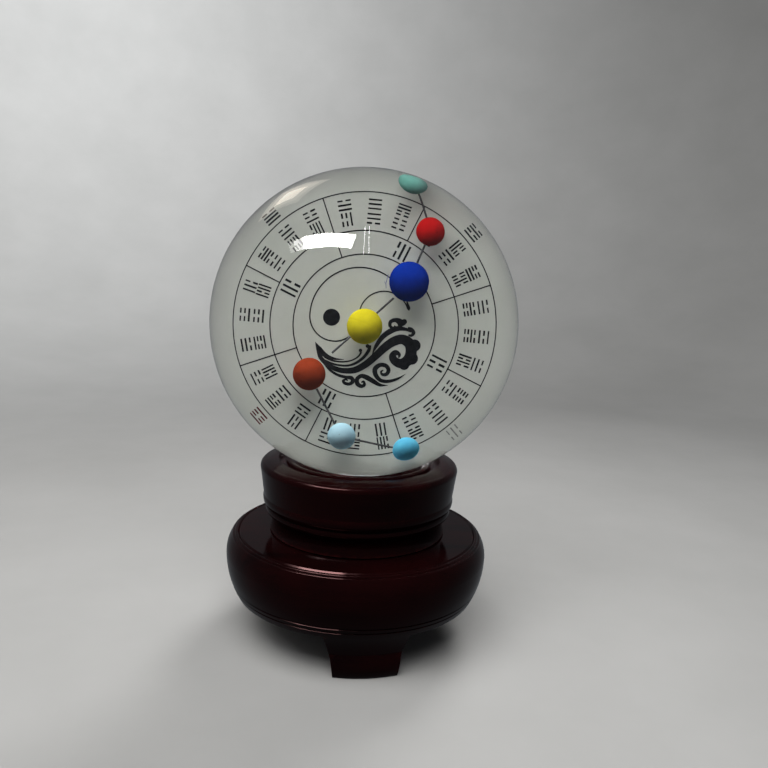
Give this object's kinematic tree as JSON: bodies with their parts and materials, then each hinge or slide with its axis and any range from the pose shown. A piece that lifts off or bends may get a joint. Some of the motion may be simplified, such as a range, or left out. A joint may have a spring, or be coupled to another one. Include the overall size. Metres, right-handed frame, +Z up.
{
  "type": "calendar crystal ball on a swivel stand",
  "caption": "Clear cast-resin ball with a round printed dial and a chain of painted beads inside, resting in a turned wooden cup that swivels on a footed base.",
  "frame": {"origin": "centre of the floor circle that the feet stand on, on the turning axis", "axes": "+Z up along the turning axis; the dial and the front foot face -Y; +X to the viewer's right"},
  "size_m": [0.1, 0.1, 0.1545],
  "materials": {
    "clear_resin": "polished clear cast resin",
    "dial_film": "matt pale grey-green printed film",
    "paint_teal": "matt teal paint",
    "paint_red": "matt red paint",
    "paint_blue": "matt dark blue paint",
    "paint_yellow": "matt yellow paint",
    "paint_orange": "matt orange-brown paint",
    "paint_pale_blue": "matt pale blue paint",
    "paint_sky_blue": "matt sky blue paint",
    "dark_wire": "darkened steel wire",
    "lacquered_wood": "very dark red-brown gloss lacquer over turned wood",
    "bearing_steel": "ground bearing steel",
    "zinc_steel": "zinc-plated steel",
    "cage_brass": "plain stamped brass"
  },
  "bodies": {
    "base": {"base_body": "lacquered_wood", "foot_ring": "lacquered_wood", "lower_race": "bearing_steel"},
    "cage": {"bearing_cage": "cage_brass", "bearing_balls": "bearing_steel"},
    "cup": {"cup": "lacquered_wood", "upper_race": "bearing_steel", "pivot_bolt": "zinc_steel", "washer": "zinc_steel", "lock_nut": "zinc_steel"},
    "ball": {"ball_front": "clear_resin", "ball_back": "clear_resin", "dial_disc": "dial_film", "bead_teal": "paint_teal", "bead_red": "paint_red", "bead_blue": "paint_blue", "bead_yellow": "paint_yellow", "bead_orange": "paint_orange", "bead_pale_blue": "paint_pale_blue", "bead_sky_blue": "paint_sky_blue", "rod_teal_red": "dark_wire", "rod_red_blue": "dark_wire", "rod_yellow": "dark_wire", "rod_orange_pale": "dark_wire", "rod_pale_sky": "dark_wire"}
  },
  "joints": [
    {"name": "cup_swivel", "type": "hinge", "parent": "base", "child": "cup", "pos_m": [0, 0, 0.03485], "axis": [0, 0, 1], "continuous": true},
    {"name": "cage_turn", "type": "hinge", "parent": "base", "child": "cage", "pos_m": [0, 0, 0.03485], "axis": [0, 0, 1], "continuous": true},
    {"name": "ball_roll", "type": "hinge", "parent": "cup", "child": "ball", "pos_m": [0, 0, 0.1045], "axis": [1, 0, 0], "continuous": true}
  ],
  "couplings": [
    {"joint": "cage_turn", "follows": "cup_swivel", "ratio": 0.5}
  ]
}
